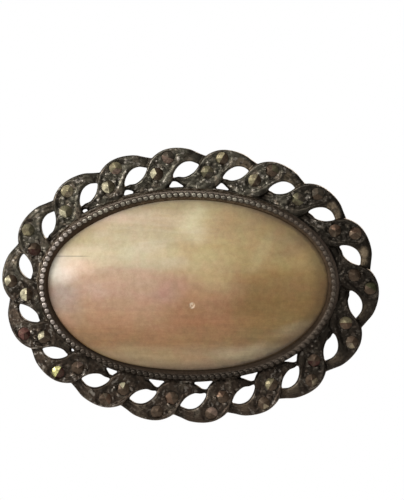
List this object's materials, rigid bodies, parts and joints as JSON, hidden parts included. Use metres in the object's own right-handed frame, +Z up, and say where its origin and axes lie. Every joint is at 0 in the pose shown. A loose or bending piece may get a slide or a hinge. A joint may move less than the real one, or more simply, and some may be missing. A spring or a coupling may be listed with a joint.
{
  "type": "brooch",
  "caption": "Oval brooch with a domed mother-of-pearl stone in a milled bezel, an openwork rope border of leaves set with marcasites, and a hinged pin with a rolling safety catch.",
  "frame": {"origin": "centre of the brooch's flat back, where it lies against the garment", "axes": "+X along the long axis, to the right as seen from the front; +Y out of the back, towards the garment and its wearer; +Z up as worn. The face looks along -Y"},
  "size_m": [0.0448, 0.0076, 0.0328],
  "materials": {
    "oxidised_silver": "cast silver with a dark brown-black oxidised patina, worn grey on its raised edges",
    "mother_of_pearl": "polished nacre, cream, tan and rose bands",
    "marcasite": "six-facet rose-cut pyrite, metallic and polished",
    "nickel_silver": "tarnished, satin",
    "steel_wire": "drawn wire, bright"
  },
  "bodies": {
    "setting": {"rope_border": "oxidised_silver", "bezel": "oxidised_silver", "bearing_ring": "oxidised_silver", "back_plate": "oxidised_silver", "cabochon": "mother_of_pearl", "marcasite_01": "marcasite", "marcasite_02": "marcasite", "marcasite_03": "marcasite", "marcasite_04": "marcasite", "marcasite_05": "marcasite", "marcasite_06": "marcasite", "marcasite_07": "marcasite", "marcasite_08": "marcasite", "marcasite_09": "marcasite", "marcasite_10": "marcasite", "marcasite_11": "marcasite", "marcasite_12": "marcasite", "marcasite_13": "marcasite", "marcasite_14": "marcasite", "marcasite_15": "marcasite", "marcasite_16": "marcasite", "marcasite_17": "marcasite", "marcasite_18": "marcasite", "marcasite_19": "marcasite", "marcasite_20": "marcasite", "marcasite_21": "marcasite", "marcasite_22": "marcasite", "marcasite_23": "marcasite", "marcasite_24": "marcasite", "marcasite_25": "marcasite", "marcasite_26": "marcasite", "marcasite_27": "marcasite", "marcasite_28": "marcasite", "marcasite_29": "marcasite", "marcasite_30": "marcasite", "marcasite_31": "marcasite", "marcasite_32": "marcasite", "marcasite_33": "marcasite", "marcasite_34": "marcasite", "marcasite_35": "marcasite", "marcasite_36": "marcasite", "joint_base": "nickel_silver", "hinge_rivet": "nickel_silver", "catch_base": "nickel_silver"},
    "pin": {"pin_stem": "steel_wire"},
    "safety_catch": {"catch_rotor": "nickel_silver"}
  },
  "joints": [
    {"name": "pin_hinge", "type": "hinge", "parent": "setting", "child": "pin", "pos_m": [-0.0138, 0.0022, 0.004], "axis": [0, 0, 1], "range_deg": [0, 100]},
    {"name": "catch_roll", "type": "hinge", "parent": "setting", "child": "safety_catch", "pos_m": [0.0133, 0.0022, 0.004], "axis": [1, 0, 0], "range_deg": [0, 110]}
  ]
}
